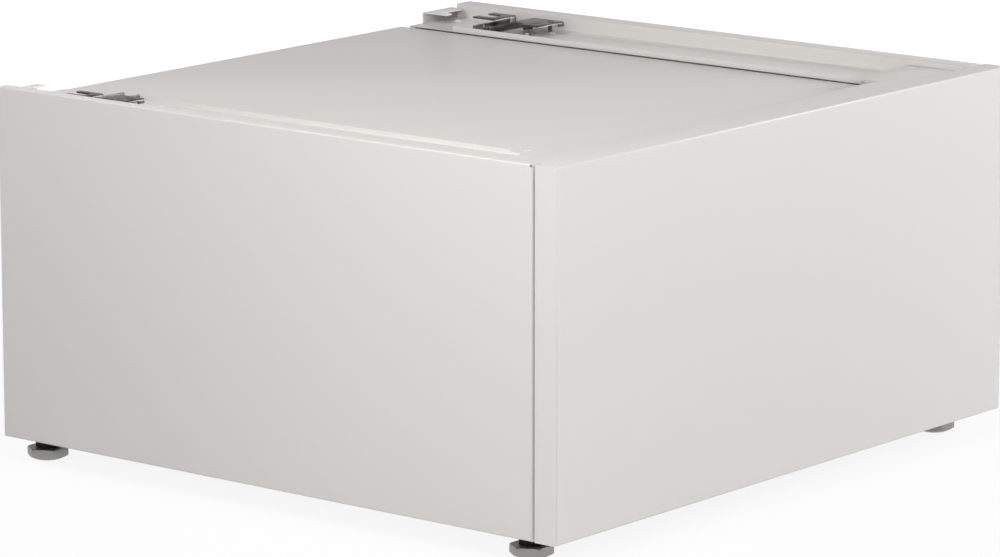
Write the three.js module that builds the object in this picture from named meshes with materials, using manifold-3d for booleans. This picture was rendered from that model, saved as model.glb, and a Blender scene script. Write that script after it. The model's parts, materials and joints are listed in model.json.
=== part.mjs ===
// Pedestal drawer that stands under a washing machine: a lacquered sheet-steel cabinet on four
// levelling feet, with a full-extension drawer on ball slides and two clamps for the machine's feet.
// Millimetres. X runs to the right seen from the front, Y to the back, Z up from the floor.

import * as THREE from 'three';
import { mergeVertices } from 'three/addons/utils/BufferGeometryUtils.js';
import Module from 'manifold-3d';

const wasm = await Module();
wasm.setup();

// ---------- driving dimensions ----------

const width = 597;
const depth = 618;
const bodyHeight = 300;
const footHeight = 20;

const panelSheet = 1.2;
const frameSheet = 1.5;
const bracketSheet = 2;
const drawerSheet = 1;
const clearance = 0.3;
const edgeRadius = 1.8;

const sidePanelDepth = 21.3;
const frontPanelDepth = 11.5;
const frontGap = 3;
const plateRecess = 13.4;
const channelRecess = 12.4;
const slideTravel = 500;

// ---------- derived places ----------

const left = -width / 2;
const right = width / 2;
const front = -depth / 2;
const back = depth / 2;
const bottom = footHeight;
const top = footHeight + bodyHeight;

const frameRight = right - sidePanelDepth - 1;
const frameCentre = (left + frameRight) / 2;
const frameHalf = (frameRight - left) / 2;
const insideLeft = left + panelSheet + clearance;
const insideRight = frameRight - panelSheet - clearance;
const plateTop = top - plateRecess;
const channelFloor = top - channelRecess;

const wallFront = front + frontPanelDepth + 2.3;
const railFront = wallFront + panelSheet + clearance;
const rearSkin = back - panelSheet - clearance;
const frontLipY = -231.2;
const rearLipY = 218.5;
const rimY = 287;

const railBottom = bottom + panelSheet + clearance;
const footInset = { side: 24.3, front: 28, rear: 32 };

// ---------- finishes ----------

const lacquer = { color: 0xe3e3de, roughness: 0.38, metalness: 0 };
const zincSteel = { color: 0xb4b6b8, roughness: 0.36, metalness: 0.9 };
const darkSteel = { color: 0x4a4845, roughness: 0.42, metalness: 0.85 };
const blackSteel = { color: 0x232220, roughness: 0.5, metalness: 0.6 };
const castZinc = { color: 0x96928e, roughness: 0.42, metalness: 0.7 };
const rubber = { color: 0x3a3a3a, roughness: 0.8, metalness: 0 };

const pedestal = new THREE.Group();

function addPart(name, shape, finish) {
  const geometry = shape.isBufferGeometry ? shape : geometryOf(shape);
  const mesh = new THREE.Mesh(geometry, new THREE.MeshStandardMaterial(finish));
  mesh.name = name;
  pedestal.add(mesh);
}

// ---------- solids and booleans ----------

function solidOf(geometry) {
  const bare = geometry.clone();
  bare.deleteAttribute('normal');
  bare.deleteAttribute('uv');
  const merged = mergeVertices(bare, 1e-4);
  const vertProperties = new Float32Array(merged.attributes.position.array);
  const triVerts = new Uint32Array(merged.index.array);
  return new wasm.Manifold(new wasm.Mesh({ numProp: 3, vertProperties, triVerts }));
}

function geometryOf(solid) {
  const { vertProperties, triVerts } = solid.getMesh();
  const geometry = new THREE.BufferGeometry();
  geometry.setAttribute('position', new THREE.BufferAttribute(vertProperties, 3));
  geometry.setIndex(new THREE.BufferAttribute(triVerts, 1));
  geometry.computeVertexNormals();
  return geometry;
}

function join(...geometries) {
  return geometries.map(asSolid).reduce((sum, next) => sum.add(next));
}

function cut(base, ...tools) {
  return tools.map(asSolid).reduce((rest, tool) => rest.subtract(tool), asSolid(base));
}

function common(one, other) {
  return asSolid(one).intersect(asSolid(other));
}

function asSolid(shape) {
  return shape.isBufferGeometry ? solidOf(shape) : shape;
}

// ---------- shapes and where they are drawn ----------

function shapeOf(points) {
  return new THREE.Shape(points.map(([a, b]) => new THREE.Vector2(a, b)));
}

// An extrusion along X of a shape drawn in (Y, Z), along Y of one in (X, Z), along Z of one in (X, Y).
function alongX(shape, from, to) {
  const axes = new THREE.Matrix4().makeBasis(
    new THREE.Vector3(0, 1, 0), new THREE.Vector3(0, 0, 1), new THREE.Vector3(1, 0, 0));
  return extrude(shape, to - from).applyMatrix4(axes).translate(from, 0, 0);
}

function alongY(shape, from, to) {
  const axes = new THREE.Matrix4().makeBasis(
    new THREE.Vector3(1, 0, 0), new THREE.Vector3(0, 0, 1), new THREE.Vector3(0, -1, 0));
  return extrude(shape, to - from).applyMatrix4(axes).translate(0, to, 0);
}

function alongZ(shape, from, to) {
  return extrude(shape, to - from).translate(0, 0, from);
}

function extrude(shape, length) {
  return new THREE.ExtrudeGeometry(shape, { depth: length, bevelEnabled: false, curveSegments: 12 });
}

function block(x0, x1, y0, y1, z0, z1) {
  return new THREE.BoxGeometry(x1 - x0, y1 - y0, z1 - z0)
    .translate((x0 + x1) / 2, (y0 + y1) / 2, (z0 + z1) / 2);
}

function rod(x, y, z0, z1, radius, sides = 16) {
  return new THREE.CylinderGeometry(radius, radius, z1 - z0, sides)
    .rotateX(Math.PI / 2)
    .translate(x, y, (z0 + z1) / 2);
}

function rodAlongY(x, z, y0, y1, radius, sides = 16) {
  return new THREE.CylinderGeometry(radius, radius, y1 - y0, sides).translate(x, (y0 + y1) / 2, z);
}

function turned(profile, sides) {
  const points = profile.map(([radius, z]) => new THREE.Vector2(radius, z));
  return new THREE.LatheGeometry(points, sides).rotateX(Math.PI / 2);
}

function slotShape(x, y, halfLength, halfWidth) {
  const shape = new THREE.Shape();
  shape.absarc(x + halfLength, y, halfWidth, -Math.PI / 2, Math.PI / 2);
  shape.absarc(x - halfLength, y, halfWidth, Math.PI / 2, 1.5 * Math.PI);
  return shape;
}

// ---------- folded sheet ----------

function filletPath(corners, radii, steps) {
  const path = [corners[0].clone()];
  for (let i = 1; i < corners.length - 1; i++) {
    const corner = corners[i];
    const toLast = corners[i - 1].clone().sub(corner).normalize();
    const toNext = corners[i + 1].clone().sub(corner).normalize();
    const half = toLast.angleTo(toNext) / 2;
    const middle = toLast.clone().add(toNext).normalize();
    const centre = corner.clone().addScaledVector(middle, radii[i] / Math.sin(half));
    const start = corner.clone().addScaledVector(toLast, radii[i] / Math.tan(half));
    const end = corner.clone().addScaledVector(toNext, radii[i] / Math.tan(half));
    const startAngle = start.sub(centre).angle();
    let sweep = end.sub(centre).angle() - startAngle;
    if (sweep > Math.PI) sweep -= 2 * Math.PI;
    if (sweep < -Math.PI) sweep += 2 * Math.PI;
    for (let k = 0; k <= steps; k++) {
      const angle = startAngle + sweep * k / steps;
      path.push(new THREE.Vector2(Math.cos(angle), Math.sin(angle)).multiplyScalar(radii[i]).add(centre));
    }
  }
  path.push(corners.at(-1).clone());
  return path;
}

function offsetCorners(corners, distance) {
  const normals = corners.slice(1).map((end, i) => {
    const along = end.clone().sub(corners[i]).normalize();
    return new THREE.Vector2(-along.y, along.x);
  });
  return corners.map((corner, i) => {
    const before = normals[Math.max(i - 1, 0)];
    const after = normals[Math.min(i, normals.length - 1)];
    const miter = before.clone().add(after).normalize();
    return corner.clone().addScaledVector(miter, distance / miter.dot(after));
  });
}

// The section of a folded sheet. The points are the corners of one face, and the sheet lies on
// the left of the way they run, or on the right with side = -1. Each fold is a round bend.
function foldedSheet(points, sheet, side = 1, bendRadius = 0.5, steps = 3) {
  const face = points.map(([a, b]) => new THREE.Vector2(a, b));
  const other = offsetCorners(face, side * sheet);
  const inner = bendRadius;
  const outer = bendRadius + sheet;
  const turnsToSheet = face.map((corner, i) => {
    if (i === 0 || i === face.length - 1) return false;
    const into = corner.clone().sub(face[i - 1]);
    const out = face[i + 1].clone().sub(corner);
    return into.cross(out) * side > 0;
  });
  const faceRadii = turnsToSheet.map((inside) => (inside ? outer : inner));
  const otherRadii = turnsToSheet.map((inside) => (inside ? inner : outer));
  const near = filletPath(face, faceRadii, steps);
  const far = filletPath(other, otherRadii, steps).reverse();
  return new THREE.Shape([...near, ...far]);
}

// A box open at its back, folded from one sheet: a face at Y = 0 and returns towards +Y all round.
// It is centred on X, and stands on Z = 0.
function pan(panWidth, panHeight, panDepth, sheet, radius) {
  const shell = (inset, reach) => {
    const halfWidth = panWidth / 2 - inset;
    const bend = Math.max(radius - inset, 0.4);
    const plan = [[halfWidth, reach], [halfWidth, inset], [-halfWidth, inset], [-halfWidth, reach]];
    const side = [[reach, panHeight - inset], [inset, panHeight - inset], [inset, inset], [reach, inset]];
    const rounded = (points) => {
      const corners = points.map(([a, b]) => new THREE.Vector2(a, b));
      return new THREE.Shape(filletPath(corners, [0, bend, bend, 0], 3));
    };
    const flat = solidOf(alongZ(rounded(plan), inset, panHeight - inset));
    const upright = solidOf(alongX(rounded(side), -halfWidth, halfWidth));
    return flat.intersect(upright);
  };
  return shell(0, panDepth).subtract(shell(sheet, panDepth + 5));
}

// ---------- outer panels ----------

// Its top return is wide: it runs on over the wall beside it, with a broader corner near the back.
function sidePanel() {
  const panel = geometryOf(pan(depth, bodyHeight, sidePanelDepth, panelSheet, edgeRadius));
  panel.rotateZ(Math.PI / 2).translate(right, 0, bottom);
  const topLeaf = (inward, yFrom, yTo) => {
    const joint = right - sidePanelDepth + 1;
    return block(frameRight - inward, joint, yFrom, yTo, top - panelSheet, top);
  };
  return join(panel, topLeaf(26, wallFront, rimY - 0.5), topLeaf(47, 178, 222));
}

const drawerRight = frameRight - 2;
const drawerFrontWidth = drawerRight - left;
const drawerFrontCentre = (left + drawerRight) / 2;

function drawerFront() {
  const panel = geometryOf(pan(drawerFrontWidth, bodyHeight, frontPanelDepth, panelSheet, edgeRadius));
  panel.translate(drawerFrontCentre, front, bottom);
  const cornerHole = rodAlongY(drawerRight - 2.2, top - 2.2, front - 1, front + panelSheet + 1, 0.9, 10);
  return cut(panel, cornerHole);
}

// The liner closes the back of the front panel, nested between its returns.
const linerDepth = 8;
const linerHoles = [-1, 1].flatMap((side) => [90, 210].map((z) => [frameCentre + side * 249, z]));

function drawerLiner() {
  const inset = panelSheet + clearance;
  const linerWidth = drawerFrontWidth - 2 * inset;
  const linerHeight = bodyHeight - 2 * inset;
  const liner = geometryOf(pan(linerWidth, linerHeight, linerDepth, drawerSheet, 1.4));
  liner.rotateZ(Math.PI).translate(drawerFrontCentre, front + frontPanelDepth, bottom + inset);
  const holes = linerHoles.map(([x, z]) => rodAlongY(x, z, front, wallFront, 2.3));
  return cut(liner, ...holes);
}

// ---------- cabinet walls ----------

// A wall with returns at its front and back, a foot flange, and the edges that each side needs above.
// Distances from the frame's middle plane are multiplied by side, so one section serves both walls.
function wallX(side, inward) {
  return frameCentre + side * (frameHalf - inward);
}

function wallSheet(side, zFrom, zTo) {
  const section = [
    [wallX(side, 15), wallFront], [wallX(side, 0), wallFront],
    [wallX(side, 0), back], [wallX(side, 14), back],
  ];
  return alongZ(foldedSheet(section, panelSheet, side), zFrom, zTo);
}

function edgeFlange(side, z, downTo, inward, yFrom, yTo) {
  const section = [[wallX(side, 0), downTo], [wallX(side, 0), z], [wallX(side, inward), z]];
  return alongY(foldedSheet(section, panelSheet, z > downTo ? side : -side), yFrom, yTo);
}

const tabTop = top - 3.6;
const frontTabEnd = -263;
const rearTabStart = 246;

function leftWall() {
  const side = -1;
  const ledge = plateTop - frameSheet - clearance;
  const sheet = wallSheet(side, bottom + 6, tabTop - 5);
  const foot = edgeFlange(side, bottom, bottom + 8, 12, wallFront + 3, back - 3);
  const plateEdge = edgeFlange(side, ledge, ledge - 8, 14, frontTabEnd - 6, rearTabStart + 6);
  const frontTab = edgeFlange(side, tabTop, tabTop - 12, 10.5, wallFront, frontTabEnd);
  const rearTab = edgeFlange(side, tabTop, tabTop - 12, 27.5, rearTabStart, rimY - 2);
  const cutDown = block(left - 1, left + 30, frontTabEnd, rearTabStart, ledge - 4, top);
  const rearNotch = block(left + 16.5, left + 40, rearTabStart + 9, rimY, tabTop - 4, top);
  const wall = join(cut(sheet, cutDown), foot, plateEdge, frontTab, rearTab);
  return cut(wall, rearNotch);
}

function rightWall() {
  const side = 1;
  const sheet = wallSheet(side, bottom + 6, top - 5);
  const foot = edgeFlange(side, bottom, bottom + 8, 12, wallFront + 3, back - 3);
  const underPanel = top - panelSheet - clearance;
  const topFlange = edgeFlange(side, underPanel, underPanel - 12, 20, wallFront, rimY - 0.5);
  return join(sheet, foot, topFlange);
}

// ---------- top of the cabinet ----------

// The plate that the machine stands over: edges folded down at the front, the right and the back.
function topPlate() {
  const plateFront = frontLipY + frameSheet + clearance;
  const plateBack = rearLipY - clearance;
  const fold = 15;
  const overhang = 20;
  const plateWidth = insideRight - left;
  const tray = geometryOf(pan(plateWidth + overhang, plateBack - plateFront, fold, frameSheet, 2.3));
  tray.translate(0, 0, -(plateBack - plateFront) / 2).rotateX(-Math.PI / 2);
  tray.translate((insideRight + left - overhang) / 2, (plateFront + plateBack) / 2, plateTop);
  const beyondWall = block(left - overhang - 1, left, front, back, 0, top);
  const overLedge = block(left - 1, left + 15, front, back, 0, plateTop - frameSheet);
  return cut(tray, beyondWall, overLedge);
}

const frontLip = { y: frontLipY, height: 3.8, from: -210, to: 188, stepTo: 199 };
const rearLip = { y: rearLipY, height: 4.8, from: -240, to: 212, stepTo: 212 };
const channelRight = insideRight;

// What is cut off a lip: all of it beyond its ends, and the upper part of its low right end.
function lipTrims(lip) {
  const over = channelFloor + 0.02;
  const low = channelFloor + lip.height / 2;
  return [
    block(left, lip.from, lip.y - 4, lip.y + 4, over, top),
    block(lip.to, lip.stepTo + 1, lip.y - 4, lip.y + 4, low, top),
    block(lip.stepTo, right, lip.y - 4, lip.y + 4, over, top),
  ];
}

// The slot in a channel's floor that a clamp's stud slides in.
function studSlot(clamp) {
  const [x, y] = studPlace(clamp);
  return alongZ(slotShape(x, y, 11, 3), channelFloor - 4, channelFloor + 2);
}

// Front channel: a face behind the drawer front, a floor for the machine's feet and a low lip.
function frontChannel() {
  const section = [
    [railFront, 270], [railFront, channelFloor],
    [frontLipY, channelFloor], [frontLipY, channelFloor + frontLip.height],
  ];
  const sheet = alongX(foldedSheet(section, panelSheet, -1), insideLeft, channelRight);
  return cut(sheet, studSlot(clamps.front), ...lipTrims(frontLip));
}

// Rear panel: back skin, box rim along the top, channel floor and lip, folded from one sheet.
function rearPanel() {
  const lipFace = rearLipY + panelSheet;
  const section = [
    [rearSkin, railBottom + 2], [rearSkin, top], [rimY, top], [rimY, channelFloor],
    [lipFace, channelFloor], [lipFace, channelFloor + rearLip.height],
  ];
  const sheet = alongX(foldedSheet(section, panelSheet), left + 7, channelRight);
  return cut(sheet, studSlot(clamps.rear), ...lipTrims(rearLip));
}

// Hat-section stiffener under the top plate.
function plateStiffener(y) {
  const z = plateTop - frameSheet - clearance;
  const section = [
    [y - 35, z], [y - 20, z], [y - 14, z - 21], [y + 14, z - 21], [y + 20, z], [y + 35, z],
  ];
  const sheet = foldedSheet(section, frameSheet, -1, 1.2);
  return alongX(sheet, left + 14 + clearance, insideRight - frameSheet - 1);
}

// ---------- base of the cabinet ----------

const footPlaces = {
  front_left: [left + footInset.side, front + footInset.front],
  front_right: [frameRight - footInset.side, front + footInset.front],
  rear_left: [left + footInset.side, back - footInset.rear],
  rear_right: [frameRight - footInset.side, back - footInset.rear],
};
const studRadius = 5;
const studHole = studRadius + clearance;

function baseRail(section, feet) {
  const rail = alongX(foldedSheet(section, panelSheet), insideLeft, insideRight);
  const holes = feet.map(([x, y]) => rod(x, y, railBottom - 1, railBottom + 4, studHole, 20));
  return cut(rail, ...holes);
}

function baseRailFront() {
  const section = [[railFront, 52], [railFront, railBottom], [-250, railBottom], [-250, 34]];
  return baseRail(section, [footPlaces.front_left, footPlaces.front_right]);
}

function baseRailRear() {
  const railBack = rearSkin - panelSheet - clearance;
  const section = [[262, 34], [262, railBottom], [railBack, railBottom], [railBack, 52]];
  return baseRail(section, [footPlaces.rear_left, footPlaces.rear_right]);
}

// Corner bracket over a foot: a plate in the rail, a leg up the wall, a rib and a welded nut.
function cornerBracket([footX, footY]) {
  const side = footX < frameCentre ? -1 : 1;
  const z = railBottom + panelSheet + clearance;
  const legX = wallX(side, panelSheet + clearance);
  const toeX = wallX(side, 46);
  const section = [[toeX, z], [legX, z], [legX, z + 34]];
  const plate = alongY(foldedSheet(section, bracketSheet, side, 1), footY - 11, footY + 16);
  const ribX = wallX(side, panelSheet + clearance + 1);
  const ribToe = wallX(side, 15);
  const rib = alongY(shapeOf([[ribX, z + 1], [ribToe, z + 1], [ribX, z + 28]]), footY + 13, footY + 15);
  const nut = rod(footX, footY, z + 1, z + 10, 9.8, 6);
  return cut(join(plate, rib, nut), rod(footX, footY, z - 1, z + 11, studHole, 20));
}

// ---------- levelling feet ----------

const hexRadius = 18.2;
const hexTop = 9.5;
const hexTurn = 1.012;
const socketFloor = 4.5;

// A hexagon that is turned off towards its sole and its top, with a socket for the stud.
function footHex([x, y]) {
  const hex = rod(0, 0, 0, hexTop, hexRadius, 6).rotateZ(hexTurn);
  const outline = turned([[0, 0], [12.5, 0], [18.4, 2.8], [18.4, 8.2], [16.8, hexTop], [0, hexTop]], 36);
  const socket = rod(0, 0, socketFloor, hexTop + 1, studHole, 20);
  return geometryOf(cut(common(hex, outline), socket)).translate(x, y, 0);
}

function footStud([x, y]) {
  const studTop = 50;
  const tip = 1;
  const start = socketFloor + clearance;
  const profile = [
    [0, start], [studRadius, start], [studRadius, studTop - tip], [studRadius - tip, studTop], [0, studTop],
  ];
  return turned(profile, 20).translate(x, y, 0);
}

function lockNut([x, y]) {
  const nutTop = railBottom - clearance;
  const nut = rod(0, 0, hexTop + clearance, nutTop - 2, 10.4, 6);
  const edge = [[0, nutTop - 3.2], [11, nutTop - 3.2], [11.8, nutTop - 2], [11.8, nutTop], [0, nutTop]];
  const flange = turned(edge, 24);
  const hole = rod(0, 0, 9, nutTop + 1, studHole, 20);
  return geometryOf(cut(join(nut, flange), hole)).rotateZ(0.35).translate(x, y, 0);
}

// ---------- clamps for the machine's feet ----------

// Places in the channels; the front clamp is narrower because its channel is.
const clamps = {
  front: { base: [-291.5, -234.5], fork: [-293.2, -272.5], coverX: [-203, -173.5], coverY: [-291, -263.5] },
  rear: { base: [228.5, 285.5], fork: [243.5, 274], coverX: [-195, -158], coverY: [240, 277] },
};
const clampBaseX = [-224.5, -205.5];
const clampSheet = 1.5;
const forkTop = channelFloor + 10.9;
const coverTop = channelFloor + 10.1;

function studPlace({ coverX, coverY }) {
  return [coverX[1] - 12, coverY[1] - 5];
}

// A channel-section base across the cabinet's channel, and over it a fork whose two tines straddle
// a foot of the machine. A leg at the fork's far side joins them.
function clampFork({ base, fork }) {
  const [baseLeft, baseRight] = clampBaseX;
  const rest = channelFloor + clearance;
  const flangeTop = channelFloor + 5.8;
  const channel = [[baseLeft, flangeTop], [baseLeft, rest], [baseRight, rest], [baseRight, flangeTop]];
  const seat = alongY(foldedSheet(channel, clampSheet, 1, 0.4), ...base);
  const arch = [[-237, forkTop], [-211, forkTop], [-211, rest + 1]];
  const plate = alongY(foldedSheet(arch, clampSheet, -1, 0.4), ...fork);
  const [near, far] = fork;
  const underPlate = block(-215, -205, near - 1, far - 9, rest, forkTop - clampSheet);
  const gapRadius = (far - near) * 0.24;
  const gap = alongZ(slotShape(-237, (near + far) / 2, 18 - gapRadius, gapRadius), forkTop - 3, forkTop + 1);
  const lookHole = block(baseLeft - 1, baseLeft + 3, base[0] + 13, base[0] + 16, rest + 2.2, rest + 4.4);
  return join(cut(seat, lookHole), cut(plate, underPlate, gap));
}

// A plate over the machine's foot, with a leg, a short tab, a slot, a slit and a round hole.
function clampCover({ coverX, coverY }) {
  const [x0, x1] = coverX;
  const [y0, y1] = coverY;
  const legFoot = channelFloor + clearance;
  const under = coverTop - clampSheet;
  const section = [[x0, legFoot], [x0, coverTop], [x1, coverTop], [x1, coverTop - 4.2]];
  const sheet = alongY(foldedSheet(section, clampSheet, -1, 0.4), y0, y1);
  const [studX, studY] = studPlace({ coverX, coverY });
  return cut(
    sheet,
    block(x0 - 1, x0 + 16, y0 - 1, y0 + 6, legFoot - 1, coverTop + 1),
    block(x0 - 1, x0 + 3, y0, y1 - 13, legFoot - 1, under),
    block(x1 - 3, x1 + 1, y0 - 1, y1 - 7, legFoot, under),
    block(x1 - 10, x1 - 2.6, y1 - 12.3, y1 - 9.7, under - 1, coverTop + 1),
    block(x1 - 11.6, x1 - 10.8, y0 + 10, y1 - 15.5, under - 1, coverTop + 1),
    rod(x1 - 12, y0 + 8.7, under - 1, coverTop + 1, 1.2, 12),
    rod(studX, studY, under - 1, coverTop + 1, 2 + clearance, 16),
  );
}

// A leaf bowed up against the cover from the channel's floor.
function clampSpring({ coverX, coverY }) {
  const rest = channelFloor + clearance;
  const crown = coverTop - clampSheet - clearance;
  const heel = coverX[1] - 10.5;
  const path = [[-204.5, rest + 0.8], [heel - 14, crown], [heel, crown], [heel, rest]];
  return alongY(foldedSheet(path, 0.8, -1, 2.2, 4), coverY[0] + 0.4, coverY[0] + 3.4);
}

// Flush in the cover, a collar under it, and a head under the channel's floor that can't lift out.
function clampStud(clamp) {
  const collarTop = coverTop - clampSheet - clearance;
  const headTop = channelFloor - panelSheet - clearance;
  const profile = [
    [0, headTop - 2.4], [4.2, headTop - 2.4], [4.2, headTop], [1.8, headTop],
    [1.8, collarTop - 1.4], [3.4, collarTop - 1.4], [3.4, collarTop],
    [2, collarTop], [2, coverTop], [0, coverTop],
  ];
  return turned(profile, 16).translate(...studPlace(clamp), 0);
}

// ---------- ball slides ----------

// Each section is drawn as (reach from the bracket towards the drawer, height from the slide's middle).
const slideZ = 100;
const slideFront = -288;
const slideBack = 262;
const bracketFace = panelSheet + clearance + 14.8;
const slideSeat = bracketFace + clearance;
const ballRadius = 1.9;

function slideSection(side, points, sheet, direction, bendRadius = 0.5) {
  const placed = points.map(([reach, z]) => [wallX(side, slideSeat + reach), slideZ + z]);
  return foldedSheet(placed, sheet, direction * side, bendRadius);
}

function slideBracket(side) {
  const seat = panelSheet + clearance;
  const web = bracketFace - frameSheet;
  const section = [
    [seat, 139], [seat, 127], [web, 127], [web, 73], [seat, 73], [seat, 61],
  ].map(([inward, z]) => [wallX(side, inward), z]);
  return alongY(foldedSheet(section, frameSheet, -side), -290, 264);
}

function slideOuter(side) {
  const points = [[9.6, 18.6], [9.6, 22.8], [0, 22.8], [0, -22.8], [9.6, -22.8], [9.6, -18.6]];
  return alongY(slideSection(side, points, panelSheet, -1), slideFront, slideBack);
}

function slideMiddle(side) {
  const points = [[11.4, 13.4], [11.4, 17.2], [3, 17.2], [3, -17.2], [11.4, -17.2], [11.4, -13.4]];
  return alongY(slideSection(side, points, 1, -1), slideFront, 240);
}

function slideInner(side) {
  const points = [[5.5, 11.8], [13, 11.8], [13, -11.8], [5.5, -11.8]];
  return alongY(slideSection(side, points, 1, 1), slideFront, slideBack);
}

// A strip that wraps the member inside it, with a row of balls along its top and its bottom.
function ballCage(side, webReach, legEnd, legZ, ballReach, ballZ) {
  const cageSheet = 0.8;
  const ballCount = 7;
  const ballPitch = 26;
  const cageFront = -120;
  const cageBack = cageFront + ballPitch * ballCount;
  const points = [[legEnd, legZ], [webReach, legZ], [webReach, -legZ], [legEnd, -legZ]];
  const strip = solidOf(alongY(slideSection(side, points, cageSheet, -1, 0.4), cageFront, cageBack));
  const balls = [];
  for (let i = 0; i < ballCount; i++) {
    for (const end of [-1, 1]) {
      const ball = new THREE.SphereGeometry(ballRadius, 6, 4);
      const y = cageFront + ballPitch * (i + 0.5);
      balls.push(ball.translate(wallX(side, slideSeat + ballReach), y, slideZ + end * ballZ));
    }
  }
  return join(strip, ...balls);
}

// ---------- drawer box ----------

const boxInward = slideSeat + 13 + clearance;
const boxFront = front + frontPanelDepth + clearance;
const boxBack = 258;
const boxBottom = 56;
const boxTop = 250;

function drawerSide(side) {
  const x = (inward) => wallX(side, boxInward + inward);
  const section = [
    [x(15), boxBottom], [x(0), boxBottom], [x(0), boxTop], [x(12), boxTop], [x(12), boxTop - 7],
  ];
  const sheet = alongY(foldedSheet(section, drawerSheet, side), boxFront, boxBack);
  const tab = [[x(18), boxFront], [x(0), boxFront], [x(0), boxFront + 12]];
  const frontTab = alongZ(foldedSheet(tab, drawerSheet, side), boxBottom + 12, boxTop - 12);
  const screwX = frameCentre + side * 249;
  const holes = [90, 210].map((z) => rodAlongY(screwX, z, boxFront - 1, boxFront + 3, 2.3));
  return cut(join(sheet, frontTab), ...holes);
}

// The drawer's floor, with two long beads pressed up for stiffness.
function drawerBottom() {
  const z = boxBottom + drawerSheet + clearance;
  const edge = wallX(1, boxInward + drawerSheet + clearance) - frameCentre;
  const beads = [-120, 120].flatMap((x) => [[x - 14, z], [x - 9, z + 4], [x + 9, z + 4], [x + 14, z]]);
  const section = [[-edge, z], ...beads, [edge, z]].map(([x, height]) => [frameCentre + x, height]);
  return alongY(foldedSheet(section, drawerSheet, 1, 1.5), boxFront + 14, boxBack - 1.6);
}

function drawerBack() {
  const halfWidth = wallX(1, boxInward + drawerSheet + clearance) - frameCentre;
  const y = boxBack;
  const foot = boxBottom + drawerSheet + clearance;
  const section = [[y - 14, boxTop - 9], [y - 14, boxTop - 2], [y, boxTop - 2], [y, foot]];
  const profile = foldedSheet(section, drawerSheet, -1);
  const sheet = alongX(profile, frameCentre - halfWidth, frameCentre + halfWidth);
  const notch = (s) => {
    const x = frameCentre + s * halfWidth;
    return block(Math.min(x, x - s * 13), Math.max(x, x - s * 13), y - 20, y + 1, boxTop - 8.3, boxTop);
  };
  return cut(sheet, notch(-1), notch(1));
}

// Pan-head screw from inside the drawer box through its front tab into the liner.
function frontScrew([x, z]) {
  const seat = boxFront + drawerSheet + clearance;
  const profile = [
    [0, seat - 7], [1.9, seat - 7], [1.9, seat],
    [4, seat], [4, seat + 1], [2.8, seat + 2.2], [0, seat + 2.4],
  ];
  const screw = turned(profile, 16);
  return screw.rotateX(-Math.PI / 2).translate(x, 0, z);
}

// A button on the liner that meets the front return of the wall.
function bumper(side) {
  const inward = side < 0 ? 7.5 : 9;
  return rodAlongY(wallX(side, inward), 290, boxFront, wallFront - clearance, 6, 20);
}

// ---------- assembly ----------

const cornerNames = Object.keys(footPlaces);
const sides = { left: -1, right: 1 };

addPart('side_panel', sidePanel(), lacquer);
addPart('left_wall', leftWall(), lacquer);
addPart('right_wall', rightWall(), lacquer);
addPart('top_plate', topPlate(), lacquer);
addPart('front_channel', frontChannel(), lacquer);
addPart('rear_panel', rearPanel(), lacquer);
addPart('plate_stiffener_front', plateStiffener(-78), zincSteel);
addPart('plate_stiffener_rear', plateStiffener(68), zincSteel);
addPart('base_rail_front', baseRailFront(), zincSteel);
addPart('base_rail_rear', baseRailRear(), zincSteel);

for (const corner of cornerNames) {
  const place = footPlaces[corner];
  addPart(`corner_bracket_${corner}`, cornerBracket(place), zincSteel);
  addPart(`lock_nut_${corner}`, lockNut(place), blackSteel);
  addPart(`foot_${corner}`, footHex(place), castZinc);
  addPart(`foot_stud_${corner}`, footStud(place), zincSteel);
}

for (const [name, clamp] of Object.entries(clamps)) {
  addPart(`clamp_fork_${name}`, clampFork(clamp), darkSteel);
  addPart(`clamp_cover_${name}`, clampCover(clamp), darkSteel);
  addPart(`clamp_spring_${name}`, clampSpring(clamp), darkSteel);
  addPart(`clamp_stud_${name}`, clampStud(clamp), darkSteel);
}

for (const [name, side] of Object.entries(sides)) {
  addPart(`slide_bracket_${name}`, slideBracket(side), zincSteel);
  addPart(`slide_outer_${name}`, slideOuter(side), zincSteel);
  addPart(`slide_middle_${name}`, slideMiddle(side), zincSteel);
  addPart(`slide_inner_${name}`, slideInner(side), zincSteel);
  addPart(`ball_cage_outer_${name}`, ballCage(side, 1.7, 8, 19.8, 5.2, 19.4), zincSteel);
  addPart(`ball_cage_inner_${name}`, ballCage(side, 4.3, 9.8, 14.4, 7.4, 14), zincSteel);
  addPart(`drawer_side_${name}`, drawerSide(side), lacquer);
  addPart(`bumper_${name}`, bumper(side), rubber);
}

addPart('drawer_front', drawerFront(), lacquer);
addPart('drawer_liner', drawerLiner(), lacquer);
addPart('drawer_bottom', drawerBottom(), lacquer);
addPart('drawer_back', drawerBack(), lacquer);
linerHoles.forEach((place, i) => addPart(`front_screw_${i + 1}`, frontScrew(place), zincSteel));

export default pedestal;
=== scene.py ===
# %% [markdown]
# # A pedestal drawer for a washing machine
# The real object is a low steel cabinet, about 597 mm wide, that lifts a washing machine by 320 mm.
# It has one large drawer, a recessed top plate with two clamps for the machine's feet, and four
# levelling feet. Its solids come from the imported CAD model, in metres, and this lesson gives them
# their finish, their rounded edges and their light, one step at a time.

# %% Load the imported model
import json
import math

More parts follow.
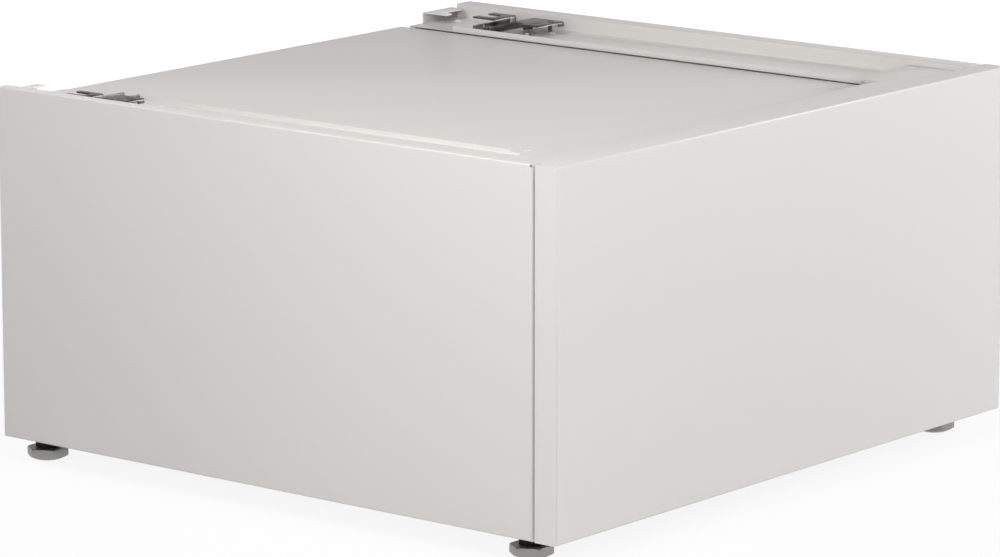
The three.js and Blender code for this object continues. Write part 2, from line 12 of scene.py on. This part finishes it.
import bmesh
import bpy
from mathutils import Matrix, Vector

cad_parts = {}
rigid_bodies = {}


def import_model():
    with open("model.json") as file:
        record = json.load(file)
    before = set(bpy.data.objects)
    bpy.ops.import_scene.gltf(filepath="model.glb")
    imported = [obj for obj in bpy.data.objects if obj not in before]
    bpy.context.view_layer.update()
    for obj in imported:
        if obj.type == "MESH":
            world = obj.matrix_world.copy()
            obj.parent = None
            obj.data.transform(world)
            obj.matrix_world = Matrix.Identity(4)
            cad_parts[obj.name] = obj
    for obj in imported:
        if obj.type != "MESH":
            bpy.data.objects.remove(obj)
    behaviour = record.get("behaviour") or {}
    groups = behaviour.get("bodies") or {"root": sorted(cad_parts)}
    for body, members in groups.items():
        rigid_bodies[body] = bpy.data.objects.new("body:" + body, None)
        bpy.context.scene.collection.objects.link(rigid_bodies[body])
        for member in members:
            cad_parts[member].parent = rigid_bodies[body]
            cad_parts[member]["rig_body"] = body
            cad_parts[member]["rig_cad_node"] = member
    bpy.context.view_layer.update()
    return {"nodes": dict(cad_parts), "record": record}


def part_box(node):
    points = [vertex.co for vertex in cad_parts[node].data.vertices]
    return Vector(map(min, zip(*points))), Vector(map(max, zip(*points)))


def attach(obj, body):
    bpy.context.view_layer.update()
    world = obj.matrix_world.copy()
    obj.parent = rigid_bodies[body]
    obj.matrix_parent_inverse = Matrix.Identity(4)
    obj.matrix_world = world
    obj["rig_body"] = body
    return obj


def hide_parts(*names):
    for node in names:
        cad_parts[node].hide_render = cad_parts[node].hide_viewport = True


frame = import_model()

nodes = frame["nodes"]
scene = bpy.context.scene
body_of = {
    node: body
    for body, members in frame["record"]["behaviour"]["bodies"].items()
    for node in members
}
slot_of = {entry["node"]: entry["material_slot"] for entry in frame["record"]["subparts"]}

# %% [markdown]
# ## The camera
# The photograph was taken with a long lens from well back, a little above the top and 39 degrees
# round to the right. A camera can be placed by eye, but the corners of a box give it more closely:
# the place and the lens below were solved from the corners of the cabinet. The long edges then fit
# within a pixel or two, and the worst place, the front's lower left corner, within four. The
# horizon is level, so the camera turns only about the vertical and then tips down.

# %% Place the camera
MM = 0.001
CAMERA_PLACE = (2.8037, -3.4696, 1.0647)
CAMERA_AZIMUTH = math.radians(39.02)
CAMERA_PITCH = math.radians(11.644)
CAMERA_LENS = 192.4

camera_data = bpy.data.cameras.new("photo_camera")
camera_data.sensor_width = 36
camera_data.lens = CAMERA_LENS
camera_data.clip_end = 200
camera = bpy.data.objects.new("photo_camera", camera_data)
scene.collection.objects.link(camera)
camera.location = CAMERA_PLACE
camera.rotation_euler = (math.pi / 2 - CAMERA_PITCH, 0, CAMERA_AZIMUTH)
scene.camera = camera
print("camera", [round(v, 3) for v in camera.location], "lens", camera_data.lens)

# %% [markdown]
# ## A studio floor that reads as white paper
# In the photograph the pedestal stands on pure white. Turning the lamps up until the floor clips
# would burn out the pale lacquer too, so the floor's material looks at the kind of ray instead:
# for camera and mirror rays it is mostly a white glow, mixed with a matt floor that keeps the soft
# shadow round the feet. A few metres away, where no shadow falls, the glow takes over altogether.
# All other rays meet a plain pale floor.

# %% Make the floor
FLOOR_SIZE = 60
FLOOR_TONE = 0.6
GLOW_NEAR = 0.82
GLOW_FADE = (0.6, 2.5)
GLOW_STRENGTH = 1.08


def new_node(material, kind, **settings):
    node = material.node_tree.nodes.new(kind)
    for name, value in settings.items():
        setattr(node, name, value)
    return node


def connect(material, source, target):
    material.node_tree.links.new(source, target)


def white_ray_factor(material):
    """1 for camera, glossy and transmission rays, and 0 for all others."""
    path = new_node(material, "ShaderNodeLightPath")
    camera_or_gloss = new_node(material, "ShaderNodeMath", operation="MAXIMUM")
    connect(material, path.outputs["Is Camera Ray"], camera_or_gloss.inputs[0])
    connect(material, path.outputs["Is Glossy Ray"], camera_or_gloss.inputs[1])
    any_seen = new_node(material, "ShaderNodeMath", operation="MAXIMUM")
    connect(material, camera_or_gloss.outputs[0], any_seen.inputs[0])
    connect(material, path.outputs["Is Transmission Ray"], any_seen.inputs[1])
    return any_seen.outputs[0]


def glow_share(material):
    """GLOW_NEAR round the object, rising to 1 between the two distances of GLOW_FADE."""
    place = new_node(material, "ShaderNodeTexCoord")
    distance = new_node(material, "ShaderNodeVectorMath", operation="LENGTH")
    connect(material, place.outputs["Object"], distance.inputs[0])
    fade = new_node(material, "ShaderNodeMapRange", interpolation_type="SMOOTHSTEP")
    fade.inputs["From Min"].default_value, fade.inputs["From Max"].default_value = GLOW_FADE
    fade.inputs["To Min"].default_value = GLOW_NEAR
    connect(material, distance.outputs["Value"], fade.inputs["Value"])
    return fade.outputs["Result"]


def floor_paper():
    paper = bpy.data.materials.new("studio_paper")
    paper.use_nodes = True
    paper.node_tree.nodes.clear()
    matt = new_node(paper, "ShaderNodeBsdfDiffuse")
    matt.inputs["Color"].default_value = (FLOOR_TONE, FLOOR_TONE, FLOOR_TONE, 1)
    glow = new_node(paper, "ShaderNodeEmission")
    glow.inputs["Strength"].default_value = GLOW_STRENGTH
    share = new_node(paper, "ShaderNodeMath", operation="MULTIPLY")
    connect(paper, white_ray_factor(paper), share.inputs[0])
    connect(paper, glow_share(paper), share.inputs[1])
    mix = new_node(paper, "ShaderNodeMixShader")
    connect(paper, share.outputs[0], mix.inputs["Fac"])
    connect(paper, matt.outputs[0], mix.inputs[1])
    connect(paper, glow.outputs[0], mix.inputs[2])
    output = new_node(paper, "ShaderNodeOutputMaterial")
    connect(paper, mix.outputs[0], output.inputs["Surface"])
    return paper


def deselect_all():
    if bpy.context.object and bpy.context.object.mode != "OBJECT":
        bpy.ops.object.mode_set(mode="OBJECT")
    bpy.ops.object.select_all(action="DESELECT")


deselect_all()
bpy.ops.mesh.primitive_plane_add(size=FLOOR_SIZE, location=(0, 0, 0))
floor = bpy.context.object
floor.name = "studio_floor"
floor.data.materials.append(floor_paper())
print("floor", FLOOR_SIZE, "m across")

# %% [markdown]
# ## Soft studio light
# Every sheet wears the same lacquer, so all the differences in tone come from the light. The right
# side is the lightest face, the top is darker, and the front fades from light at the near corner
# to a warm grey at the far left. An even, slightly warm surround gives the shadows their level.
# A large softbox behind the right side does most of the work. One near the camera lights the
# front, the small lips and the near fold, one high behind draws the rear edges, and one stands
# low behind the object, where the top mirrors it towards the camera. Two small weak ones near the
# front's upper edge make it lighter there. The levels are low, so a colour renders about as it is
# written, and from the photograph's side no pale panel clips. From behind, one place still does:
# there the top mirrors a lamp, by its place the one near the camera.

# %% Light the object
WORLD_LEVEL = 0.3
WORLD_TINT = (1, 0.926, 0.92, 1)
SOFTBOXES = {
    "rear_right_softbox": ((2.2, 2.6, 1.2), (0.3, 0.2, 0.15), (1.6, 1.6), 74),
    "camera_softbox": ((2.2, -2.8, 1.3), (0.1, -0.1, 0.2), (1.4, 1.0), 34),
    "high_rear_softbox": ((0.6, 2.9, 2.4), (0.1, 0, 0.25), (1.4, 1.2), 12.5),
    "backdrop_softbox": ((-2.5, 3.1, 1.1), (0, 0, 0.3), (3.0, 1.6), 4.9),
    "left_edge_softbox": ((-0.7, -0.55, 1.3), (0, -0.25, 0.3), (0.7, 0.5), 5.6),
    "right_edge_softbox": ((0.35, -0.8, 0.75), (0.2, -0.31, 0.25), (0.6, 0.4), 2.8),
}

world = bpy.data.worlds.new("studio_surround")
world.use_nodes = True
world.node_tree.nodes["Background"].inputs["Color"].default_value = WORLD_TINT
world.node_tree.nodes["Background"].inputs["Strength"].default_value = WORLD_LEVEL
scene.world = world
scene.view_settings.view_transform = "Standard"

for name, (place, target, size, power) in SOFTBOXES.items():
    lamp_data = bpy.data.lights.new(name, "AREA")
    lamp_data.shape = "RECTANGLE"
    lamp_data.size, lamp_data.size_y = size
    lamp_data.energy = power
    lamp = bpy.data.objects.new(name, lamp_data)
    scene.collection.objects.link(lamp)
    lamp.visible_camera = False
    lamp.location = place
    lamp.rotation_euler = (Vector(target) - Vector(place)).to_track_quat("-Z", "Y").to_euler()
print("softboxes", ", ".join(SOFTBOXES))

# %% [markdown]
# ## Lacquered sheet steel
# Powder-coated steel is never a flat colour. It has a fine ripple, called orange peel, of about a
# millimetre, its gloss differs a little from place to place, and its tone drifts slightly over a
# large panel. A noise texture at each of these three scales, on Object coordinates so that it
# runs on over folds without a seam, gives the bump, the roughness and the colour.

# %% Make the lacquer


def principled(name, roughness, metallic=0.0):
    material = bpy.data.materials.new(name)
    material.use_nodes = True
    shader = material.node_tree.nodes["Principled BSDF"]
    shader.inputs["Roughness"].default_value = roughness
    shader.inputs["Metallic"].default_value = metallic
    place = new_node(material, "ShaderNodeTexCoord")
    return material, shader, place.outputs["Object"]


def noise(material, place, scale, detail=2.0, stretch=None):
    """A noise value from 0 to 1 with features about 1 / scale metres across."""
    if stretch:
        mapping = new_node(material, "ShaderNodeMapping")
        mapping.inputs["Scale"].default_value = stretch
        connect(material, place, mapping.inputs["Vector"])
        place = mapping.outputs["Vector"]
    texture = new_node(material, "ShaderNodeTexNoise")
    texture.inputs["Scale"].default_value = scale
    texture.inputs["Detail"].default_value = detail
    connect(material, place, texture.inputs["Vector"])
    return texture.outputs["Fac"]


def blend_colours(material, factor, dark, light, shader):
    mix = new_node(material, "ShaderNodeMix", data_type="RGBA")
    connect(material, factor, mix.inputs["Factor"])
    mix.inputs["A"].default_value = (*dark, 1)
    mix.inputs["B"].default_value = (*light, 1)
    connect(material, mix.outputs["Result"], shader.inputs["Base Color"])


def vary_roughness(material, factor, low, high, shader):
    span = new_node(material, "ShaderNodeMapRange")
    span.inputs["To Min"].default_value = low
    span.inputs["To Max"].default_value = high
    connect(material, factor, span.inputs["Value"])
    connect(material, span.outputs["Result"], shader.inputs["Roughness"])


def add_bump(material, height, strength, distance, shader):
    bump = new_node(material, "ShaderNodeBump")
    bump.inputs["Strength"].default_value = strength
    bump.inputs["Distance"].default_value = distance
    connect(material, height, bump.inputs["Height"])
    connect(material, bump.outputs["Normal"], shader.inputs["Normal"])


def lacquer(name, dark, light, gloss, coat):
    """Powder coat: dark and light are the ends of its slow drift in tone, gloss its roughness."""
    material, shader, place = principled(name, gloss)
    blend_colours(material, noise(material, place, 2.5, 1), dark, light, shader)
    vary_roughness(material, noise(material, place, 30), gloss - 0.03, gloss + 0.03, shader)
    add_bump(material, noise(material, place, 850, 1), 0.05, 0.1 * MM, shader)
    shader.inputs["Coat Weight"].default_value = coat
    shader.inputs["Coat Roughness"].default_value = 0.12
    return material


panel_white = lacquer("panel_white", (0.715, 0.705, 0.68), (0.74, 0.735, 0.71), 0.4, 0.15)
print("lacquer", panel_white.name)

# %% [markdown]
# ## Bare and plated metal
# Galvanised sheet shows a spangle: flat crystals some millimetres wide, each a little lighter or
# darker. A Voronoi texture makes such cells. The clamps are dark spring steel with fine marks
# along the strip, so their noise is stretched along X. Oxidised steel is dull and nearly black.

# %% Make the metals


def zinc_plate():
    material, shader, place = principled("zinc_plate", 0.36, 1.0)
    cells = new_node(material, "ShaderNodeTexVoronoi", feature="F1")
    cells.inputs["Scale"].default_value = 160
    connect(material, place, cells.inputs["Vector"])
    tone = new_node(material, "ShaderNodeSeparateColor")
    connect(material, cells.outputs["Color"], tone.inputs["Color"])
    blend_colours(material, tone.outputs["Red"], (0.5, 0.51, 0.52), (0.6, 0.61, 0.62), shader)
    vary_roughness(material, tone.outputs["Green"], 0.3, 0.44, shader)
    add_bump(material, noise(material, place, 400), 0.06, 0.1 * MM, shader)
    return material


def spring_steel():
    material, shader, place = principled("spring_steel", 0.32, 1.0)
    marks = noise(material, place, 300, 3, stretch=(0.08, 1, 1))
    blend_colours(material, marks, (0.1, 0.095, 0.09), (0.2, 0.19, 0.18), shader)
    vary_roughness(material, marks, 0.24, 0.42, shader)
    add_bump(material, marks, 0.1, 0.05 * MM, shader)
    return material


def black_oxide():
    material, shader, place = principled("black_oxide", 0.5, 0.6)
    grain = noise(material, place, 600)
    blend_colours(material, grain, (0.012, 0.012, 0.012), (0.03, 0.029, 0.027), shader)
    vary_roughness(material, grain, 0.4, 0.6, shader)
    add_bump(material, grain, 0.15, 0.1 * MM, shader)
    return material


def cast_zinc():
    material, shader, place = principled("cast_zinc", 0.42, 0.75)
    grain = noise(material, place, 500, 3)
    blend_colours(material, grain, (0.3, 0.29, 0.28), (0.38, 0.37, 0.36), shader)
    vary_roughness(material, grain, 0.34, 0.5, shader)
    add_bump(material, grain, 0.12, 0.1 * MM, shader)
    return material


def bumper_rubber():
    material, shader, place = principled("bumper_rubber", 0.75)
    dust = noise(material, place, 350)
    blend_colours(material, dust, (0.03, 0.03, 0.03), (0.05, 0.05, 0.048), shader)
    vary_roughness(material, dust, 0.65, 0.85, shader)
    add_bump(material, dust, 0.2, 0.1 * MM, shader)
    return material


print("recipes for zinc plate, spring steel, black oxide, cast zinc and rubber")

# %% [markdown]
# ## Put the finishes on
# The record gives every CAD node a material slot, so a table from slot to finish dresses them all.
# Nodes that no hand-made piece replaces later, such as the slides, keep this look.

# %% Give every CAD node the finish of its slot
finishes = {
    "lacquer": panel_white,
    "zinc_steel": zinc_plate(),
    "dark_steel": spring_steel(),
    "black_steel": black_oxide(),
    "cast_zinc": cast_zinc(),
    "rubber": bumper_rubber(),
}


def wear(piece, slot):
    piece.data.materials.clear()
    piece.data.materials.append(finishes[slot])


for name, node in nodes.items():
    wear(node, slot_of[name])
print({slot: sum(s == slot for s in slot_of.values()) for slot in finishes})

# %% [markdown]
# ## The outer panels
# The side panel and the drawer front are pans: a flat sheet with its four sides folded back.
# The fold is what the eye reads as quality, a narrow bright line along each edge. A panel starts
# as a block of the pan's size. Its back face is deleted, the edges round the face are bevelled
# with many segments, and Solidify gives the sheet its thickness towards the inside.

# %% Helpers for modelling by hand
FOLD_SEGMENTS = 6
SMOOTH_ANGLE = math.radians(32)


def add_block(name, low, high):
    deselect_all()
    size = [high[i] - low[i] for i in range(3)]
    centre = [(high[i] + low[i]) / 2 for i in range(3)]
    bpy.ops.mesh.primitive_cube_add(size=1, location=centre, scale=size)
    piece = bpy.context.object
    piece.name = name
    bpy.ops.object.transform_apply(location=True, rotation=True, scale=True)
    return piece


def edit_faces(piece, chosen):
    """Opens edit mode with just the faces selected for which chosen(face) holds."""
    select_only(piece)
    bpy.ops.object.mode_set(mode="EDIT")
    bpy.ops.mesh.select_mode(type="FACE")
    bpy.ops.mesh.select_all(action="DESELECT")
    mesh = bmesh.from_edit_mesh(piece.data)
    for face in mesh.faces:
        face.select_set(bool(chosen(face)))
    bmesh.update_edit_mesh(piece.data)


def edit_edges(piece, chosen):
    """Opens edit mode with just the edges selected for which chosen(edge) holds."""
    select_only(piece)
    bpy.ops.object.mode_set(mode="EDIT")
    bpy.ops.mesh.select_mode(type="EDGE")
    bpy.ops.mesh.select_all(action="DESELECT")
    mesh = bmesh.from_edit_mesh(piece.data)
    for edge in mesh.edges:
        edge.select_set(bool(chosen(edge)))
    bmesh.update_edit_mesh(piece.data)


def select_only(piece):
    deselect_all()
    piece.select_set(True)
    bpy.context.view_layer.objects.active = piece


def leave_edit():
    bpy.ops.object.mode_set(mode="OBJECT")


def apply_modifier(piece, kind, **settings):
    select_only(piece)
    modifier = piece.modifiers.new(kind.lower(), kind)
    for name, value in settings.items():
        setattr(modifier, name, value)
    bpy.ops.object.modifier_apply(modifier=modifier.name)


def smooth(piece, angle=SMOOTH_ANGLE):
    select_only(piece)
    bpy.ops.object.shade_smooth_by_angle(angle=angle)


def install(piece, node):
    """The piece stands for a CAD node: same body, same slot, same finish."""
    wear(piece, slot_of[node])
    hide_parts(node)
    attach(piece, body_of[node])


print("helpers to add, select, shape and install a piece")

# %% [markdown]
# ## One tool for both pans
# The side panel and the drawer front differ only in their size and in the way their face looks,
# so one function folds both. It could extrude the four returns one by one, but a block without its
# back already has them, and their corners meet by themselves.

# %% Fold a panel from one sheet
PANEL_SHEET = 1.2 * MM
PANEL_FOLD = 1.8 * MM
SAME_PLANE = 0.01 * MM


def folded_panel(name, low, high, axis, outward):
    """A pan whose face looks along axis (0 for X, 1 for Y), towards outward (1 or -1)."""
    panel = add_block(name, low, high)
    edit_faces(panel, lambda face: face.normal[axis] * outward < -0.9)
    bpy.ops.mesh.delete(type="FACE")
    face_at = (high if outward > 0 else low)[axis]
    edit_edges(panel, lambda edge: all(abs(v.co[axis] - face_at) < SAME_PLANE for v in edge.verts))
    bpy.ops.mesh.bevel(offset=PANEL_FOLD, segments=FOLD_SEGMENTS, affect="EDGES")
    leave_edit()
    apply_modifier(panel, "SOLIDIFY", thickness=PANEL_SHEET, offset=-1, use_even_offset=True)
    return panel


print("sheet", PANEL_SHEET, "m, folds of", PANEL_FOLD, "m")

# %% [markdown]
# ## The side panel
# The side panel's front return is the one seen edge on, through the gap beside the drawer front.
# Its edge is turned back once more, so that the gap has a pale wall on both sides and light gets
# down into it. The extra fold is a thin block, united with the pan. In the CAD model the panel's
# top return runs on over the wall beside it. Here it ends at the pan's own depth, because the
# photograph shows the wall's lower flange there, and a later cell makes that.

# %% Make the side panel
SIDE_PAN_DEPTH = 21.3 * MM
HEM_DEPTH = 12 * MM

side_low, side_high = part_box("side_panel")
side_low.x = side_high.x - SIDE_PAN_DEPTH
side_skin = folded_panel("side_skin", side_low, side_high, axis=0, outward=1)
hem = add_block(
    "hem",
    (side_low.x, side_low.y + PANEL_SHEET / 2, side_low.z + PANEL_SHEET / 2),
    (side_low.x + PANEL_SHEET, side_low.y + HEM_DEPTH, side_high.z - PANEL_SHEET / 2))
apply_modifier(side_skin, "BOOLEAN", object=hem, operation="UNION", solver="EXACT")
bpy.data.objects.remove(hem)
smooth(side_skin)
install(side_skin, "side_panel")
print(side_skin.name, len(side_skin.data.polygons), "faces")

# %% [markdown]
# ## The drawer front and its relief hole
# Where three folds meet at a corner the sheet would tear, so a small hole is punched there first.
# In the photograph it shows as a dark dot at the front's upper right corner. A thin cutter and a
# Boolean modifier punch it through the finished pan.

# %% Make the drawer front
RELIEF_RADIUS = 1.1 * MM
RELIEF_INSET = 1.4 * MM
RELIEF_DEPTH = 5 * MM

front_low, front_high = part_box("drawer_front")
front_skin = folded_panel("front_skin", front_low, front_high, axis=1, outward=-1)


def punch(piece, place, radius, depth, axis):
    """Cuts a round hole through a piece, along axis 0, 1 or 2, centred on place."""
    deselect_all()
    turn = {0: (0, math.pi / 2, 0), 1: (math.pi / 2, 0, 0), 2: (0, 0, 0)}[axis]
    bpy.ops.mesh.primitive_cylinder_add(
        vertices=24, radius=radius, depth=depth, location=place, rotation=turn)
    cutter = bpy.context.object
    apply_modifier(piece, "BOOLEAN", object=cutter, operation="DIFFERENCE", solver="EXACT")
    bpy.data.objects.remove(cutter)


relief_place = (front_high.x - RELIEF_INSET, front_low.y, front_high.z - RELIEF_INSET)
punch(front_skin, relief_place, RELIEF_RADIUS, RELIEF_DEPTH, axis=1)
smooth(front_skin)
install(front_skin, "drawer_front")
print(front_skin.name, len(front_skin.data.polygons), "faces")

# %% [markdown]
# ## Folded sheets with softened edges
# The channels, the walls and the clamps are already folded in the CAD model, but a CAD mesh is
# loose triangles with razor-sharp edges, and razor-sharp edges catch no light. Each is copied,
# its doubles are merged and its flat triangles dissolved, and a narrow bevel breaks the cut edges
# as a coat of lacquer does. The bends turn by 30 degrees a step, so a limit of 40 skips them.

# %% Soften the cut edges of a folded node
CUT_ANGLE = math.radians(40)
FLAT_ANGLE = math.radians(0.5)


def cad_copy(node):
    """A copy of a CAD node with a mesh of its own, its doubles merged."""
    source = nodes[node]
    piece = source.copy()
    piece.data = source.data.copy()
    piece.name = node + "_skin"
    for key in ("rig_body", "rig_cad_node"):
        if key in piece:
            del piece[key]
    piece.parent = None
    scene.collection.objects.link(piece)
    select_only(piece)
    bpy.ops.object.mode_set(mode="EDIT")
    bpy.ops.mesh.select_all(action="SELECT")
    bpy.ops.mesh.remove_doubles(threshold=SAME_PLANE)
    leave_edit()
    return piece


def soften(piece, node, edge_width, segments=2):
    """Dissolves flat triangles, breaks the cut edges and puts the piece in the node's place."""
    select_only(piece)
    bpy.ops.object.mode_set(mode="EDIT")
    bpy.ops.mesh.select_all(action="SELECT")
    bpy.ops.mesh.dissolve_limited(angle_limit=FLAT_ANGLE)
    leave_edit()
    apply_modifier(
        piece, "BEVEL", width=edge_width, segments=segments,
        limit_method="ANGLE", angle_limit=CUT_ANGLE, use_clamp_overlap=True)
    smooth(piece)
    install(piece, node)
    print(piece.name, len(piece.data.polygons), "faces")


SHEET_EDGE = 0.2 * MM
for node in ("left_wall", "top_plate", "front_channel", "rear_panel"):
    soften(cad_copy(node), node, SHEET_EDGE)

# %% [markdown]
# ## The right wall's flange
# In the photograph this wall's top flange is wide, lies lower than the side panel beside it and
# has a broad corner at the back. The CAD wall ends in a narrower flange just under the panel's
# return. So the copy's top is moved down, the edge of its flange is pulled out, and a thin block
# united with it makes the corner. Then it is softened like the others.

# %% Lower and widen the flange
FLANGE_TOP = 315.5 * MM
FLANGE_WIDTH = 35.5 * MM
FLANGE_ZONE = 4 * MM
CORNER_WIDTH = 60.5 * MM
CORNER_FRONT = 197 * MM
CORNER_OVERLAP = 5 * MM

right_wall = cad_copy("right_wall")
wall_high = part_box("right_wall")[1]
zone = wall_high.z - FLANGE_ZONE
edit_faces(right_wall, lambda face: all(v.co.z > zone for v in face.verts))
bpy.ops.transform.translate(value=(0, 0, FLANGE_TOP - wall_high.z))
leave_edit()
flange = [v.co for v in right_wall.data.vertices if v.co.z > FLANGE_TOP - 2 * PANEL_SHEET]
flange_edge, flange_end = min(co.x for co in flange), max(co.y for co in flange)
edit_faces(right_wall, lambda face: all(abs(v.co.x - flange_edge) < SAME_PLANE for v in face.verts))
bpy.ops.transform.translate(value=(wall_high.x - FLANGE_WIDTH - flange_edge, 0, 0))
leave_edit()
corner = add_block(
    "corner",
    (wall_high.x - CORNER_WIDTH, CORNER_FRONT, FLANGE_TOP - PANEL_SHEET),
    (wall_high.x - FLANGE_WIDTH + CORNER_OVERLAP, flange_end, FLANGE_TOP))
apply_modifier(right_wall, "BOOLEAN", object=corner, operation="UNION", solver="EXACT")
bpy.data.objects.remove(corner)
soften(right_wall, "right_wall", SHEET_EDGE)

# %% [markdown]
# ## The levelling feet
# Each foot is a hexagon for a spanner, turned off to a cone towards its sole and its top, so its
# corners end in the curved bites that a turned nut has. A hexagonal prism cut by a turned outline
# makes just that: a Boolean intersection of the two. The outline is drawn as a disc and
# extruded upwards ring by ring, each ring scaled to the next radius.

# %% Turn the outline and cut the hexagon with it
FOOT_RADIUS = 18.2 * MM
FOOT_TOP = 9.5 * MM
FOOT_TURN = math.radians(28)
FOOT_RINGS = [(12, 0), (18.4, 3.2), (18.4, 8.4), (16.9, 9.5)]
SOCKET_RADIUS = 5.3 * MM
SOCKET_DEPTH = 5 * MM
HEX_CORNER = 0.7 * MM
HEX_EDGE = 0.3 * MM
HEX_EDGE_ANGLE = math.radians(20)


def add_turned(name, centre, rings, sides=64):
    """A closed turned body from (radius, height) rings in millimetres, lowest first."""
    deselect_all()
    x, y = centre
    first_radius, first_height = rings[0]
    bpy.ops.mesh.primitive_circle_add(
        vertices=sides, radius=first_radius * MM, fill_type="NGON",
        location=(x, y, first_height * MM))
    body = bpy.context.object
    body.name = name
    bpy.ops.object.transform_apply(location=True, rotation=True, scale=True)
    for (radius, height), (next_radius, next_height) in zip(rings, rings[1:]):
        edit_faces(body, lambda face: abs(face.calc_center_median().z - height * MM) < 1e-6)
        rise = (next_height - height) * MM
        bpy.ops.mesh.extrude_region_move(TRANSFORM_OT_translate={"value": (0, 0, rise)})
        grow = next_radius / radius
        bpy.ops.transform.resize(value=(grow, grow, 1), center_override=(x, y, next_height * MM))
        leave_edit()
    face_outwards(body)
    return body


def face_outwards(piece):
    select_only(piece)
    bpy.ops.object.mode_set(mode="EDIT")
    bpy.ops.mesh.select_all(action="SELECT")
    bpy.ops.mesh.normals_make_consistent(inside=False)
    leave_edit()


def levelling_foot(name, centre):
    x, y = centre
    deselect_all()
    bpy.ops.mesh.primitive_cylinder_add(
        vertices=6, radius=FOOT_RADIUS, depth=FOOT_TOP,
        location=(x, y, FOOT_TOP / 2), rotation=(0, 0, FOOT_TURN - math.radians(30)))
    foot = bpy.context.object
    foot.name = name
    bpy.ops.object.transform_apply(location=True, rotation=True, scale=True)
    edit_edges(foot, lambda edge: abs(edge.verts[0].co.z - edge.verts[1].co.z) > 1 * MM)
    bpy.ops.mesh.bevel(offset=HEX_CORNER, segments=3, affect="EDGES")
    leave_edit()
    outline = add_turned("foot_outline", centre, FOOT_RINGS)
    apply_modifier(foot, "BOOLEAN", object=outline, operation="INTERSECT", solver="EXACT")
    bpy.data.objects.remove(outline)
    punch(foot, (x, y, FOOT_TOP), SOCKET_RADIUS, 2 * SOCKET_DEPTH, axis=2)
    apply_modifier(
        foot, "BEVEL", width=HEX_EDGE, segments=2,
        limit_method="ANGLE", angle_limit=HEX_EDGE_ANGLE, use_clamp_overlap=True)
    smooth(foot, math.radians(25))
    return foot


for corner in ("front_left", "front_right", "rear_left", "rear_right"):
    low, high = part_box("foot_stud_" + corner)
    foot = levelling_foot("hex_foot_" + corner, ((low.x + high.x) / 2, (low.y + high.y) / 2))
    install(foot, "foot_" + corner)
    nut = "lock_nut_" + corner
    soften(cad_copy(nut), nut, HEX_EDGE)

# %% [markdown]
# ## The clamps
# Two clamps hold the machine's feet. A fork of thin spring steel reaches out to the left over
# the foot's flange, and a cover on a stud holds it down. The strips keep their CAD folds, and
# their edges are broken by a seventh of a millimetre, which draws a thin light line along them.

# %% Soften the clamps
CLAMP_EDGE = 0.15 * MM

for place in ("front", "rear"):
    for part in ("fork", "cover", "spring", "stud"):
        node = f"clamp_{part}_{place}"
        soften(cad_copy(node), node, CLAMP_EDGE)
print("clamps done")

# %% [markdown]
# ## Spot welds on the channels
# Where the channels lie on their neighbours they are spot welded, and under lacquer each weld is
# a shallow round rise that shows as a light dot. One is a disc raised in three shrinking rings.
# The right wall's flange has one pressed joint, a ring with a sunk middle. All of them are
# joined into one piece.

# %% Raise the welds
WELD_RINGS = [(3.6, 0), (3.3, 0.5), (2.4, 1.0), (1.0, 1.2)]
PRESSED_RINGS = [(4.2, 0), (4.0, 0.35), (3.4, 0.36), (3.0, 0.1), (1.0, 0.11)]
PRESSED_PLACE = (222.8, 275.6)
CHANNEL_FLOOR = 307.6
PLATE_TOP = 306.6
FLOOR_WELDS = [(-175, -243), (-275, 269), (-177, 250), (-164, 266.6)]
PLATE_WELDS = [(185.5, -204.5)]
WELD_SIDES = 24


def raised_mark(profile, x, y, base):
    rings = [(radius, base + height) for radius, height in profile]
    return add_turned("weld", (x * MM, y * MM), rings, sides=WELD_SIDES)


welds = [raised_mark(WELD_RINGS, x, y, CHANNEL_FLOOR) for x, y in FLOOR_WELDS]
welds += [raised_mark(WELD_RINGS, x, y, PLATE_TOP) for x, y in PLATE_WELDS]
welds.append(raised_mark(PRESSED_RINGS, *PRESSED_PLACE, FLANGE_TOP / MM))
deselect_all()
for weld in welds:
    weld.select_set(True)
bpy.context.view_layer.objects.active = welds[0]
bpy.ops.object.join()
spot_welds = bpy.context.object
spot_welds.name = "spot_welds"
smooth(spot_welds, math.radians(60))
wear(spot_welds, "lacquer")
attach(spot_welds, "cabinet")
print("spot welds", len(welds))

# %% [markdown]
# ## Leave nothing selected
# The last step leaves no object selected.

# %% Deselect everything
deselect_all()
